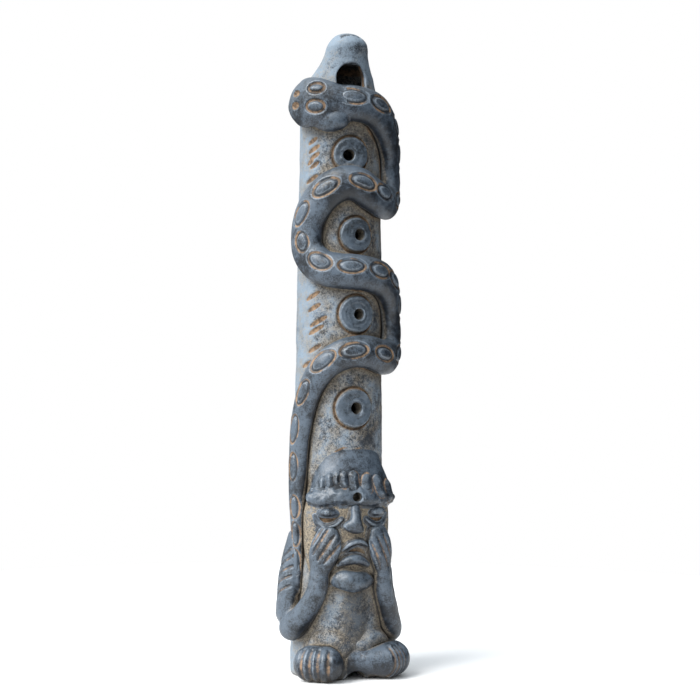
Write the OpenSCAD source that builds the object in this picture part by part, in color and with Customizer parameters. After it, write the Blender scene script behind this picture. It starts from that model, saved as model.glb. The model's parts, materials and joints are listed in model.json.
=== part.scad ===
// Clay duct flute: a hand-built tube with a beak, four finger holes in round pads, a snake wound over
// the front and sides, and a squatting figure with its hands on its cheeks at the foot.
// It stands on +Z. The front, with the window, the finger holes and the figure, faces -Y.
// Places on the tube are given by an angle from the front (positive towards +X) and a height.

/* [Tube] */
// Height of the tube, up to its joint with the beak
tube_h = 190; // [180:1:200]
// Outer radius at the foot
foot_r = 15.8; // [15:0.1:16.5]
// Outer radius at the joint with the beak
neck_r = 13.6; // [13:0.1:14.2]
// Radius of the bore
bore_r = 9; // [7:0.1:10]

/* [Finger holes] */
// Radius of each finger hole
hole_r = 1.9; // [1.5:0.1:2.5]
// Radius of the small hole in the forehead
forehead_r = 1.5; // [1:0.1:2]
// Radius of the round pad that surrounds a finger hole
pad_r = 6.2; // [5:0.1:6.4]
// How far a pad stands out of the tube
pad_lift = 1.3; // [0.8:0.1:1.6]
// Width of the groove cut round each pad
groove_w = 0.9; // [0.5:0.1:1.2]
// Depth of that groove
groove_d = 0.7; // [0.4:0.1:1]

/* [Beak] */
// Height of the beak above the tube
beak_h = 25.8; // [24:0.1:28]
// Width of the window
window_w = 10; // [8:0.1:10.5]
// Height of the window's arch above its lower edge
window_h = 8.4; // [7:0.1:9]
// Width of the windway
windway_w = 7; // [5:0.1:8]
// Height of the windway, between the plug and the front wall
windway_t = 1.8; // [1.4:0.1:2.2]

/* [Snake] */
// Half-width of the body where it is widest
snake_w = 5.9; // [5:0.1:6.2]
// Half-thickness of the body where it is thickest
snake_t = 4; // [3.4:0.1:4.2]

/* [Hidden] */
FINGERS = [1, 2, 3, 4];
SIDES = ["left", "right"];

// Finger holes from the top down: [angle of the pad, angle of the hole, height, the pad's radius over pad_r]
finger_places = [[-4, -7, 174.5, 1], [4.5, 9, 148, 0.97], [5, 8, 121.5, 1.03], [1.5, 4.5, 90.2, 1.08]];
forehead_hole = [0.5, 61];
// Feet: radius at the toes, half the toes' spread, and how far the toes stand from the axis
toe_r = 5.9;
toe_spread = 2.6;
toe_reach = 19.4;
// Tufts of the fringe: [angle, height]
fringe_places = [
    [-37.5, 65.4], [-29, 66.4], [-21.5, 67.2], [-13, 66.6], [-2, 66.2], [12.5, 65.4], [28, 64.2], [42.5, 62.6]];
eps = 0.05;
round_fn = 96;
ball_fn = 20;
roll_sides = 12;
// Plug: its thickness, the height of its lower end, and where its front and back faces stand
plug_t = 5;
plug_z = 205.4;
windway_front = 10.6;
plug_front = windway_front - windway_t;
plug_back = plug_front - plug_t;
// Lower edge of the window, and the arch cut in the tube's foot between the two feet
window_z = 197;
front_arch_r = 4;
front_arch_at = [5, -1];
// Middle line of the figure's limbs, as an angle on the tube
figure_at = -1;

// The snake's middle line, from its neck to the tip of its tail: [angle, height]
snake_route = [
    [-33, 192.4], [-20, 192], [-5, 191.5], [16, 190.6], [35, 188], [56, 182.5], [75, 175], [78, 166],
    [62, 160.3], [40, 159.6], [19, 161.8], [0, 164.6], [-20, 164.4], [-40, 160.6], [-58, 152.5],
    [-60, 143.5], [-42, 137.4], [-20, 135.8], [2, 135.4], [24, 134.4], [46, 131.8], [68, 125.6],
    [77, 116.5], [65, 109.2], [42, 107.2], [14, 109], [-12, 108.3], [-36, 104], [-57, 94.8],
    [-70, 81.5], [-74, 66], [-75, 52], [-74, 40], [-75, 29]];
snake_taper_from = 24;

// Beak sections from the joint up: [height, half-width, half-depth, shift to the front]
beak_sections = [
    [0, 13.6, 13.6, 0], [3.5, 12.9, 13, 0.1], [7.5, 11.8, 12, 0.4], [11, 10.9, 11, 0.8], [14, 9.3, 9.4, 2.4],
    [18, 7.7, 7, 5], [22, 6.7, 5.7, 7], [24.4, 4.8, 4.2, 7], [25.4, 2.9, 2.6, 7], [25.8, 0.8, 0.8, 7]];
chamber_sections = [[-eps, 8.6, 8.6, 0], [7, 8.2, 8.2, 0.2], [11, 7.4, 7.4, 0.8], [15.4, 5.4, 5.2, 3]];

// Face and cap sections: [height, half-width, half-depth, shift to the front]
face_sections = [
    [32, 11, 5.2, 9.4], [36, 13, 7.6, 8.9], [42, 14.4, 9.1, 8.1], [50, 14.8, 9.4, 7.8], [55, 14.8, 9.4, 8],
    [59, 14, 9.3, 8.3]];
cap_sections = [
    [59, 14.6, 9.2, 9], [62, 14.6, 9.2, 9], [66, 13.2, 8.2, 9.2], [69, 11.8, 7.4, 9.6], [72, 10.3, 6.4, 10],
    [74.5, 8.8, 5.2, 10.6], [76.4, 6.2, 3.4, 12]];
// The cap sits a little to the right
cap_shift = 1;

// ---- Functions ----

function tube_r(z) = foot_r + (neck_r - foot_r) * z / tube_h;
function polar(a, r, z) = [r * sin(a), -r * cos(a), z];
function unit(v) = v / norm(v);
// Moves a point out to the tube's surface if it lies inside the tube
function on_tube(p) =
    let (r = norm([p.x, p.y]), least = tube_r(p.z))
    r < least ? [p.x * least / r, p.y * least / r, p.z] : p;
// Catmull-Rom spline through rows of numbers
function between(a, b, c, d, t) =
    b + (c - a) * t / 2 + (2 * a - 5 * b + 4 * c - d) * t * t / 2 + (3 * b - a - 3 * c + d) * t * t * t / 2;
function spline(p, steps) = concat(
    [for (i = [0:len(p) - 2], k = [0:steps - 1])
        between(p[max(i - 1, 0)], p[i], p[i + 1], p[min(i + 2, len(p) - 1)], k / steps)],
    [p[len(p) - 1]]);
// One ring of a roll, for a row [angle, lift, height, half-width, half-thickness]
function centre(row) = polar(row[0], tube_r(row[2]) + row[1], row[2]);
function ring(row, along, swell, shift) =
    let (out = polar(row[0], 1, 0), side = unit(cross(along, out)), up = unit(cross(side, along)))
    [for (k = [0:roll_sides - 1])
        let (t = 360 * k / roll_sides)
        on_tube(centre(row) + along * shift + (side * row[3] * cos(t) + up * row[4] * sin(t)) * swell)];
// All rings of a roll, with rounded ends
function rings(rows) =
    let (n = len(rows), first = unit(centre(rows[1]) - centre(rows[0])),
         last = unit(centre(rows[n - 1]) - centre(rows[n - 2])))
    concat(
        [for (t = [75, 45]) ring(rows[0], first, cos(t), -rows[0][4] * sin(t))],
        [for (i = [0:n - 1])
            ring(rows[i], unit(centre(rows[min(i + 1, n - 1)]) - centre(rows[max(i - 1, 0)])), 1, 0)],
        [for (t = [45, 75]) ring(rows[n - 1], last, cos(t), rows[n - 1][4] * sin(t))]);
function mean(points) = [for (k = [0:2]) [for (p = points) p[k]] * [for (p = points) 1 / len(points)]];
function snake_size(i) =
    i < snake_taper_from ? [snake_w, snake_t] * (1 - 0.2 * max(0, 1.5 - i) / 1.5)
    : let (t = (i - snake_taper_from) / (len(snake_route) - 1 - snake_taper_from))
      [snake_w * (1 - 0.28 * min(1, 2 * t) - 0.5 * max(0, t - 0.6) / 0.4),
       snake_t * (1 - 0.3 * min(1, 2 * t) - 0.4 * max(0, t - 0.6) / 0.4)];

// ---- Helpers ----

// Closed skin over rings of points that all have the same number of points
module skin(loops) {
    n = len(loops[0]);
    m = len(loops);
    polyhedron(
        points = concat([for (loop = loops) each loop], [mean(loops[0]), mean(loops[m - 1])]),
        faces = concat(
            [for (i = [0:m - 2], k = [0:n - 1]) each [
                [i * n + k, i * n + (k + 1) % n, (i + 1) * n + k],
                [i * n + (k + 1) % n, (i + 1) * n + (k + 1) % n, (i + 1) * n + k]]],
            [for (k = [0:n - 1]) [(k + 1) % n, k, n * m]],
            [for (k = [0:n - 1]) [(m - 1) * n + k, (m - 1) * n + (k + 1) % n, n * m + 1]]));
}

// Clay roll pressed on the tube, through rows of [angle, lift, height, half-width, half-thickness]
module roll(rows, steps = 3) skin(rings(spline(rows, steps)));

// Elliptical sections stacked along Z
module loft(sections, z0 = 0, sides = 36)
    skin([for (s = sections) [for (k = [0:sides - 1])
        [s[1] * sin(-360 * k / sides), -s[3] - s[2] * cos(360 * k / sides), z0 + s[0]]]]);
module cap_loft() translate([cap_shift, 0, 0]) loft(cap_sections);

module at(angle, radius, height) rotate([0, 0, angle]) translate([0, -radius, height]) children();
module radial_drill(angle, height, radius, depth_from, depth_to)
    at(angle, 0, height) rotate([90, 0, 0]) translate([0, 0, depth_from])
        cylinder(r = radius, h = depth_to - depth_from, $fn = round_fn);
module tube_solid(h = tube_h) cylinder(r1 = foot_r, r2 = tube_r(h), h = h, $fn = round_fn);
module front_arch() radial_drill(front_arch_at[0], front_arch_at[1], front_arch_r, 0, 2 * foot_r);
module finger_hole(place) radial_drill(place[1], place[2], hole_r, 0, 2 * foot_r);
module forehead_drill() radial_drill(forehead_hole[0], forehead_hole[1], forehead_r, 0, 2 * foot_r);

// ---- Tube and voice ----

// Groove cut in the tube round a pad
module pad_groove(place) {
    floor_r = tube_r(place[2]) - groove_d;
    rim_r = pad_r * place[3];
    difference() {
        radial_drill(place[0], place[2], rim_r + groove_w, 0, 2 * foot_r);
        radial_drill(place[0], place[2], rim_r, -1, 3 * foot_r);
        cylinder(r = floor_r, h = tube_h, $fn = round_fn);
    }
}

module flute_tube() color("dimgray") difference() {
    tube_solid();
    translate([0, 0, -1]) cylinder(r = bore_r, h = tube_h + 2, $fn = round_fn);
    for (place = finger_places) {
        finger_hole(place);
        pad_groove(place);
    }
    forehead_drill();
    front_arch();
}

module window() {
    arch_r = window_w / 2;
    translate([0, 0, window_z]) rotate([90, 0, 0]) {
        translate([0, window_h - arch_r, 0]) cylinder(r = arch_r, h = 3 * neck_r, $fn = round_fn);
        translate([-arch_r, 0, 0]) cube([window_w, window_h - arch_r, 3 * neck_r]);
    }
}

// Room for the plug and for the air above it, open at the top
module plug_socket()
    translate([-windway_w / 2, -windway_front, plug_z - 1])
        cube([windway_w, windway_front - plug_back, beak_h]);

module mouthpiece() color("dimgray") difference() {
    loft(beak_sections, tube_h);
    loft(chamber_sections, tube_h, 24);
    window();
    plug_socket();
}

module windway_plug() color("dimgray") intersection() {
    loft(beak_sections, tube_h);
    translate([-windway_w / 2, -plug_front, plug_z]) cube([windway_w, plug_t, beak_h]);
}

// Round pad on the tube; the snake lies over the lower edge of the first one
module finger_pad(i) color("slategray") {
    place = finger_places[i - 1];
    difference() {
        intersection() {
            radial_drill(place[0], place[2], pad_r * place[3], bore_r, 2 * foot_r);
            cylinder(r = tube_r(place[2]) + pad_lift, h = tube_h, $fn = round_fn);
        }
        tube_solid();
        finger_hole(place);
        if (i == 1) snake_roll();
    }
}

// ---- Snake ----

module snake_roll()
    roll([for (i = [0:len(snake_route) - 1])
        let (p = snake_route[i], s = snake_size(i))
        [p[0], 0.62 * s[1], p[1], s[0], s[1]]]);
module snake_body() color("darkslategray") snake_roll();

// The head is flat and broad, with its snout round the left side and a fold of the throat below its neck
module snake_head() color("darkslategray") difference() {
    union() {
        roll([[-30, 3.2, 193.2, 5.4, 3.6], [-42, 4, 192.4, 7.6, 3.8], [-58, 3.8, 191.6, 8.2, 3.8],
              [-74, 3, 191.6, 6.6, 3.3], [-88, 2.4, 191.4, 4, 2.6]]);
        roll([[-14, 1.6, 186.8, 1.8, 2.2], [-22, 2.6, 185.9, 3.4, 3.1], [-33, 2.8, 185.7, 3.9, 3.3],
              [-43, 2.4, 186.2, 3.4, 2.8]]);
    }
    snake_roll();
}

// ---- Figure ----

module face() color("slategray") difference() {
    loft(face_sections);
    tube_solid();
    forehead_drill();
}

module cap() color("slategray") difference() {
    cap_loft();
    tube_solid();
    forehead_drill();
}

// A piece pressed on the face or the cap ends where they begin
module on_face() difference() {
    children();
    loft(face_sections);
}
module on_cap() difference() {
    children();
    cap_loft();
}

module rim_roll()
    roll([for (a = [-50:16:62]) [a, 1.8 + 0.8 * cos(a), 61.2 - abs(a) / 50, 2.4 - pow(a / 62, 4), 1.9]], 2);
module cap_rim() color("slategray") on_cap() difference() {
    rim_roll();
    forehead_drill();
}

module tufts()
    for (place = fringe_places)
        roll([[place[0], 3.4, place[1] + 1.6, 1, 0.9], [place[0], 3.9, place[1] - 1.6, 1.1, 1.1]], 2);
module hair_fringe() color("darkslategray") on_cap() difference() {
    tufts();
    rim_roll();
}

module nose() color("slategray") on_face()
    roll([[-1, 2.4, 57.2, 1.6, 1.5], [-1, 3.2, 54.6, 1.7, 1.8], [-2, 3.6, 52.4, 2.2, 2.1],
          [-3.2, 3.3, 50.9, 3.6, 1.8]]);
module upper_lip() color("slategray") on_face()
    roll([[-13, 1.9, 43.8, 0.6, 1], [-6, 2.4, 45.4, 0.8, 1.3], [2, 2.6, 46.2, 0.9, 1.4],
          [9, 2.4, 45.7, 0.8, 1.3], [16, 1.8, 44.2, 0.6, 1]]);
module lower_lip() color("slategray") on_face()
    roll([[-18, 1.7, 38.8, 1, 1.2], [-10, 2.4, 39.9, 1.4, 1.5], [2, 2.7, 40.3, 1.6, 1.7],
          [14, 1.9, 38.6, 1.1, 1.3]]);
module chin_roll() color("slategray") on_face()
    roll([[-25, 1.2, 33.8, 2, 1.6], [-14, 2.4, 33.5, 3.2, 2.7], [4, 2.6, 33, 3.3, 2.8],
          [18, 1.3, 33.4, 2.2, 1.9]]);

// A limb's rows are [angle, lift, height, half-width, half-thickness], angles from the middle outwards
module limb(side, rows)
    roll([for (r = rows) [(side == "left" ? -1 : 1) * r[0] + figure_at, r[1], r[2], r[3], r[4]]]);

module upper_eyelid(side) color("slategray") on_face()
    limb(side, [[22, 2.1, 55.6, 0.7, 0.9], [29.5, 2.8, 56, 1.35, 1.6], [37, 2.1, 55.6, 0.7, 0.9]]);
module lower_eyelid(side) color("slategray") on_face()
    limb(side, [[15, 2.1, 53.2, 0.5, 0.7], [21, 2.3, 51.8, 0.65, 0.9], [31, 2.4, 50.9, 0.65, 1],
                [40, 2, 52.2, 0.65, 0.9], [43.5, 1.7, 54.4, 0.5, 0.7]]);
module hand_roll(side)
    limb(side, [[38, 2.6, 36, 3, 2.6], [34, 3.2, 41, 4.8, 2.6], [30, 3.2, 45.5, 5, 2.4],
                [29, 3, 49.5, 3.4, 1.8]]);
module hand(side) color("darkslategray") on_face() hand_roll(side);
// The right arm hangs a little lower than the left one and lies closer
module upper_arm_roll(side)
    limb(side, side == "left"
        ? [[88, 0.4, 47, 3, 1.8], [90, 1, 40, 5, 2.8], [92, 1.6, 31, 6.2, 3.6], [89, 2, 21, 5.6, 4.2]]
        : [[88, 0, 47, 3, 1.8], [90, 0.2, 40, 5, 2.8], [92, 0.7, 30, 6, 3.5], [89, 2, 19.4, 5.4, 4.2]]);
module upper_arm(side) color("darkslategray") difference() {
    upper_arm_roll(side);
    if (side == "left") snake_roll();
}
module forearm_roll(side)
    limb(side, side == "left"
        ? [[38, 2.4, 33.6, 3.2, 3], [42, 2.6, 28.8, 3.4, 3.2], [52, 2.6, 23.6, 3.6, 3.4],
           [66, 2.6, 18.6, 4.2, 3.8], [77, 2.4, 16.6, 4.4, 4]]
        : [[38, 2.4, 33.6, 3.2, 3], [42, 2.5, 28.4, 3.2, 3.2], [52, 2.4, 22.4, 3.5, 3.4],
           [65, 2.5, 16.8, 4.2, 3.8], [76, 2.4, 14.8, 4.4, 4]]);
module forearm(side) color("darkslategray") on_face() difference() {
    forearm_roll(side);
    hand_roll(side);
    upper_arm_roll(side);
    if (side == "left") snake_roll();
}
module leg(side) color("slategray") difference() {
    limb(side, side == "left"
        ? [[10, 0, 9.6, 2.4, 1], [22, 0.2, 12, 2.4, 1.4], [36, 0.2, 12.4, 2.4, 1.4], [50, 0, 9.6, 2.2, 1]]
        : [[16, 0, 10, 2.4, 1], [30, 0.2, 12.4, 2.6, 1.6], [48, 0.5, 11.6, 2.6, 2], [64, 0.3, 8.8, 2.6, 1.8]]);
    foot_solid(side);
}

// Each foot: [angle of the ankle, its distance from the axis, its height, its radius, angle of the toes]
function foot_row(side) = side == "left" ? [-30, 12, 4.5, 4.5, -38] : [2, 14.2, 6, 3.2, 46];
module foot_solid(side) {
    f = foot_row(side);
    hull() {
        at(f[0], f[1], f[2]) sphere(r = f[3], $fn = ball_fn);
        for (spread = [-toe_spread, toe_spread])
            at(f[4], toe_reach, toe_r) translate([spread, 0, 0]) sphere(r = toe_r, $fn = ball_fn);
    }
}
module foot(side) color("darkslategray") difference() {
    foot_solid(side);
    tube_solid();
}

flute_tube();
mouthpiece();
windway_plug();
for (i = FINGERS)
    finger_pad(i);
snake_head();
snake_body();
cap();
hair_fringe();
cap_rim();
face();
nose();
upper_lip();
lower_lip();
chin_roll();
for (s = SIDES) {
    upper_eyelid(s);
    lower_eyelid(s);
    hand(s);
    forearm(s);
    upper_arm(s);
    leg(s);
    foot(s);
}
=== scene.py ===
import json
import math

import bpy
import numpy as np
from mathutils import Matrix, Vector


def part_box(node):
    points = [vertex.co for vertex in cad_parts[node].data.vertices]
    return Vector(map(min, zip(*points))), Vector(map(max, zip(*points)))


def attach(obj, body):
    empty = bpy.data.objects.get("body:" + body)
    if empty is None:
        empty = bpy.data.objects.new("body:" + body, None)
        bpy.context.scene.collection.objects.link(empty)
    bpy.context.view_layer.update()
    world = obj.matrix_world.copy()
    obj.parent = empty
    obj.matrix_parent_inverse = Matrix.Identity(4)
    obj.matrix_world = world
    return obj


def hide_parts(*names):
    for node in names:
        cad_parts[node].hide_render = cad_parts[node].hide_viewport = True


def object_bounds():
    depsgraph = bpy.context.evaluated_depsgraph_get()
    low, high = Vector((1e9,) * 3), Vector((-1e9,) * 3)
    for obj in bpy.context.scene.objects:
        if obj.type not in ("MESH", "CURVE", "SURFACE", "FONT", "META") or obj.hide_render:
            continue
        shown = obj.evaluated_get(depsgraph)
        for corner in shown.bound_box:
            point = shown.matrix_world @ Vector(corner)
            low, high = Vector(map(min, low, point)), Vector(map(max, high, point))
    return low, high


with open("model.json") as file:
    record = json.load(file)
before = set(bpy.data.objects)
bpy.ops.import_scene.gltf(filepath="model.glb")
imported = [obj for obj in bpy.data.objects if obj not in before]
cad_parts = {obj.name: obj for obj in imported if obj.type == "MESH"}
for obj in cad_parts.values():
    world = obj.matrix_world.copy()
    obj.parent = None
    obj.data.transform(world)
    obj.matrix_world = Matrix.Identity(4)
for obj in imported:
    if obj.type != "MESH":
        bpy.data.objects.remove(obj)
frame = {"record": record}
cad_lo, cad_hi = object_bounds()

# A clay duct flute, sculpted round its CAD frame. Everything here is in millimetres until a mesh is made.
# A place on the flute is an angle from the front, in degrees and positive towards +X, and a height.
MM = 1000.0
F = np.float32
COARSE = 1.0
rng = np.random.default_rng(11)


def cad_box(node):
    lo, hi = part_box(node)
    return np.array(lo, F) * MM, np.array(hi, F) * MM


MOUNTS = {m["name"]: m for m in frame["record"]["mounts"]}
TUBE_TOP = cad_box("flute_tube")[1]
TUBE_H = float(TUBE_TOP[2])
FOOT_R = float(TUBE_TOP[0])
NECK_R = float(cad_box("mouthpiece")[1][0])
BORE_R = float(MOUNTS["foot_bore"]["dims"]["r_mm"])
HOLE_R = 1.9
FOREHEAD_R = 1.5
PAD_R = 6.2
PAD_LIFT = 1.3
# Where a piece is pressed on another: the gap its fillet closes, and how deep its hidden underside lies
CONTACT, SINK = 0.06, 0.5
# Room left round a piece's CAD box while it is meshed
MARGIN = 1.6

# ---- Shapes of the pieces: the same rows as in the CAD ----
# Finger holes: [angle of the pad, angle of the hole, height, the pad's radius over PAD_R]
FINGERS = [[-4, -7, 174.5, 1], [4.5, 9, 148, 0.97], [5, 8, 121.5, 1.03], [1.5, 4.5, 90.2, 1.08]]
FOREHEAD = [0.5, 61]
# Rows of a section: [height, half-width, half-depth, shift to the front]
BEAK = [
    [0, 13.6, 13.6, 0], [3.5, 12.9, 13, 0.1], [7.5, 11.8, 12, 0.4], [11, 10.9, 11, 0.8], [14, 9.3, 9.4, 2.4],
    [18, 7.7, 7, 5], [22, 6.7, 5.7, 7], [24.4, 4.8, 4.2, 7], [25.4, 2.9, 2.6, 7], [25.8, 0.8, 0.8, 7]]
CHAMBER = [[-1, 8.6, 8.6, 0], [7, 8.2, 8.2, 0.2], [11, 7.4, 7.4, 0.8], [15.4, 5.4, 5.2, 3], [16, 0.1, 0.1, 3]]
FACE = [[32, 11, 5.2, 9.4], [36, 13, 7.6, 8.9], [42, 14.4, 9.1, 8.1], [50, 14.8, 9.4, 7.8], [55, 14.8, 9.4, 8],
        [59, 14, 9.3, 8.3]]
CAP = [
    [59, 14.6, 9.2, 9], [62, 14.6, 9.2, 9], [66, 13.2, 8.2, 9.2], [69, 11.8, 7.4, 9.6], [72, 10.3, 6.4, 10],
    [74.5, 8.8, 5.2, 10.6], [76.4, 6.2, 3.4, 12]]
CAP_SHIFT = 1.0
# The snake's middle line from its neck to the tip of its tail: [angle, height]
SNAKE = [
    [-33, 192.4], [-20, 192], [-5, 191.5], [16, 190.6], [35, 188], [56, 182.5], [75, 175], [78, 166],
    [62, 160.3], [40, 159.6], [19, 161.8], [0, 164.6], [-20, 164.4], [-40, 160.6], [-58, 152.5],
    [-60, 143.5], [-42, 137.4], [-20, 135.8], [2, 135.4], [24, 134.4], [46, 131.8], [68, 125.6],
    [77, 116.5], [65, 109.2], [42, 107.2], [14, 109], [-12, 108.3], [-36, 104], [-57, 94.8],
    [-70, 81.5], [-74, 66], [-75, 52], [-74, 40], [-75, 29]]
SNAKE_W, SNAKE_T, TAPER_FROM = 5.9, 4.0, 24
# Rows of a roll: [angle, lift above the tube, height, half-width, half-thickness]
HEAD = [[-30, 3.2, 193.2, 5.4, 3.6], [-42, 4, 192.4, 7.6, 3.8], [-58, 3.8, 191.6, 8.2, 3.8],
        [-74, 3, 191.6, 6.6, 3.3], [-88, 2.4, 191.4, 4, 2.6]]
THROAT = [[-14, 1.6, 186.8, 1.8, 2.2], [-22, 2.6, 185.9, 3.4, 3.1], [-33, 2.8, 185.7, 3.9, 3.3],
          [-43, 2.4, 186.2, 3.4, 2.8]]
RIM = [[a, 1.8 + 0.8 * math.cos(math.radians(a)), 61.2 - abs(a) / 50, 2.4 - (a / 62) ** 4, 1.9]
       for a in range(-50, 63, 16)]
# Tufts of the fringe: [angle, height, half-width, half-length]
TUFTS = [[-37.5, 65.4, 1.3, 2.2], [-29, 66.4, 1.45, 2.5], [-21.5, 67.2, 1.15, 2.1], [-13, 66.6, 1.5, 2.7],
         [-2, 66.2, 1.7, 3.3], [12.5, 65.4, 1.9, 3.3], [28, 64.2, 1.9, 3.8], [42.5, 62.6, 2, 3.8]]
NOSE = [[-1, 2.4, 57.2, 1.6, 1.5], [-1, 3.2, 54.6, 1.7, 1.8], [-2, 3.6, 52.4, 2.2, 2.1],
        [-3.2, 3.3, 50.9, 3.6, 1.8]]
UPPER_LIP = [[-13, 1.9, 43.8, 0.6, 1.0], [-6, 2.4, 45.4, 0.8, 1.3], [2, 2.6, 46.2, 0.9, 1.4],
             [9, 2.4, 45.7, 0.8, 1.3], [16, 1.8, 44.2, 0.6, 1.0]]
LOWER_LIP = [[-18, 1.7, 38.8, 1, 1.2], [-10, 2.4, 39.9, 1.4, 1.5], [2, 2.7, 40.3, 1.6, 1.7],
             [14, 1.9, 38.6, 1.1, 1.3]]
CHIN = [[-25, 1.2, 33.8, 2, 1.6], [-14, 2.4, 33.5, 3.2, 2.7], [4, 2.6, 33, 3.3, 2.8], [18, 1.3, 33.4, 2.2, 1.9]]
# Paired rolls, with angles counted outwards from the figure's middle line
FIGURE_AT = -1
LIMBS = {
    "upper_eyelid": [[22, 2.1, 55.6, 0.7, 0.9], [29.5, 2.8, 56, 1.35, 1.6], [37, 2.1, 55.6, 0.7, 0.9]],
    "lower_eyelid": [[15, 2.1, 53.2, 0.5, 0.7], [21, 2.3, 51.8, 0.65, 0.9], [31, 2.4, 50.9, 0.65, 1],
                     [40, 2, 52.2, 0.65, 0.9], [43.5, 1.7, 54.4, 0.5, 0.7]],
    "hand": [[38, 2.6, 36, 3, 2.6], [34, 3.2, 41, 4.8, 2.6], [30, 3.2, 45.5, 5, 2.4], [29, 3, 49.5, 3.4, 1.8]],
    "forearm": [[38, 2.4, 33.6, 3.2, 3], [42, 2.6, 28.8, 3.4, 3.2], [52, 2.6, 23.6, 3.6, 3.4],
                [66, 2.6, 18.6, 4.2, 3.8], [77, 2.4, 16.6, 4.4, 4]],
    "upper_arm": [[88, 0.4, 47, 3, 1.8], [90, 1, 40, 5, 2.8], [92, 1.6, 31, 6.2, 3.6], [89, 2, 21, 5.6, 4.2]],
    "leg": [[10, 0, 9.6, 2.4, 1], [22, 0.2, 12, 2.4, 1.4], [36, 0.2, 12.4, 2.4, 1.4], [50, 0, 9.6, 2.2, 1]],
}
# The right arm hangs a little lower and lies closer
RIGHT_LIMBS = {
    "forearm": [[38, 2.4, 33.6, 3.2, 3], [42, 2.5, 28.4, 3.2, 3.2], [52, 2.4, 22.4, 3.5, 3.4],
                [65, 2.5, 16.8, 4.2, 3.8], [76, 2.4, 14.8, 4.4, 4]],
    "upper_arm": [[88, 0, 47, 3, 1.8], [90, 0.2, 40, 5, 2.8], [92, 0.7, 30, 6, 3.5], [89, 2, 19.4, 5.4, 4.2]],
    "leg": [[16, 0, 10, 2.4, 1], [30, 0.2, 12.4, 2.6, 1.6], [48, 0.5, 11.6, 2.6, 2], [64, 0.3, 8.8, 2.6, 1.8]],
}
# Feet: [angle of the ankle, its distance from the bore's middle, its height, its radius, angle of the toes]
FEET = {"left": [-30, 12, 4.5, 4.5, -38], "right": [2, 14.2, 6, 3.2, 46]}
TOE_R, TOE_SPREAD, TOE_REACH = 5.9, 2.6, 19.4
# The arch between the feet: [angle, height, radius]
ARCH = [5, -1, 4]
# Middles of the mouth, [angle, height], and of the belly, height alone
MOUTH = [-2, 42.3]
BELLY_Z = 22

# Stamped ovals on the snake: [angle, height, half-length, half-width]
OVALS = [
    [-6.5, 193.8, 4.2, 2.8], [24, 191.6, 3.8, 2.8], [57, 185.6, 4.1, 2.8],
    [60, 160.4, 3.8, 2.7], [30.5, 162.7, 3.6, 2.8], [4, 165.4, 4.0, 2.7], [-34, 163.2, 4.2, 2.7],
    [-59, 155, 4.2, 2.7], [-57.5, 145.3, 4.0, 2.7], [-38, 139.2, 4.3, 2.9], [-8.2, 138.2, 4.0, 2.6],
    [24, 136.2, 3.7, 2.8], [49, 133.8, 3.9, 2.8],
    [29.4, 108.5, 3.7, 2.7], [-4.8, 109.5, 4.1, 2.8], [-36, 106.1, 4.4, 2.9], [-59, 95.4, 4.6, 2.6],
    [-71, 83.2, 5.0, 2.6], [-72.5, 70.3, 4.9, 2.4], [-72, 57.2, 4.1, 2.2], [-72, 48.2, 4.3, 2.1],
    [-72, 38.7, 4.3, 1.9]]
OVAL_GAP = 10.6
# Cuts beside the snake, each rising to the right: [angle, height, length]
SLASHES = [
    [-62, 179.4, 3.4], [-60, 176.6, 4.2], [-58, 174.3, 3.4], [-66, 172.3, 2.2], [-58, 171.3, 3.3],
    [-63, 166.6, 4.6], [-58, 127.6, 5.2], [-56, 123.6, 4.6], [-49, 119, 6], [-52, 116.2, 5.4],
    [-54, 110, 4.6], [-67, 104.8, 4]]


# ---- Fields: negative inside, in millimetres from the surface ----

def smin(a, b, k):
    t = np.clip(0.5 + 0.5 * (b - a) / k, 0, 1)
    return b + (a - b) * t - k * t * (1 - t)


def smax(a, b, k):
    return -smin(-a, -b, k)


def dip(d, w):
    return np.exp(-(d / w) ** 2)


def step(lo, hi, x):
    t = np.clip((x - lo) / (hi - lo), 0, 1)
    return t * t * (3 - 2 * t)


LATTICE_N = 8192
LATTICE = (rng.random(LATTICE_N) * 2 - 1).astype(F)


def noise(P, size, seed=0):
    q = P / size + seed * 7.31
    i = np.floor(q).astype(np.int64)
    f = (q - i).astype(F)
    f = f * f * (3 - 2 * f)
    total = 0
    for dx in (0, 1):
        for dy in (0, 1):
            for dz in (0, 1):
                key = ((i[:, 0] + dx) * 73856093) ^ ((i[:, 1] + dy) * 19349663) ^ ((i[:, 2] + dz) * 83492791)
                w = (f[:, 0] if dx else 1 - f[:, 0]) * (f[:, 1] if dy else 1 - f[:, 1])
                total = total + LATTICE[key & (LATTICE_N - 1)] * w * (f[:, 2] if dz else 1 - f[:, 2])
    return total


def tube_r(z):
    return FOOT_R + (NECK_R - FOOT_R) * z / TUBE_H


def polar(a, r, z):
    a = np.radians(a)
    return np.stack([r * np.sin(a), -r * np.cos(a), z + 0 * a], -1)


def angle_of(P):
    return np.degrees(np.arctan2(P[:, 0], -P[:, 1]))


def turn(a, b):
    return (a - b + 180) % 360 - 180


def on_tube(P, angle, z):
    """Millimetres round and up from a place on the tube."""
    return turn(angle_of(P), angle) * np.radians(1.0) * tube_r(z), P[:, 2] - z


def spline(rows, steps):
    rows = np.array(rows, float)
    n = len(rows)
    out = []
    for i in range(n - 1):
        a, b, c, d = rows[max(i - 1, 0)], rows[i], rows[i + 1], rows[min(i + 2, n - 1)]
        for k in range(steps):
            t = k / steps
            out.append(b + (c - a) * t / 2 + (2 * a - 5 * b + 4 * c - d) * t * t / 2
                       + (3 * b - a - 3 * c + d) * t ** 3 / 2)
    return np.array(out + [rows[-1]])


def unit(v):
    return v / np.maximum(np.linalg.norm(v, axis=-1, keepdims=True), 1e-9)


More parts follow.
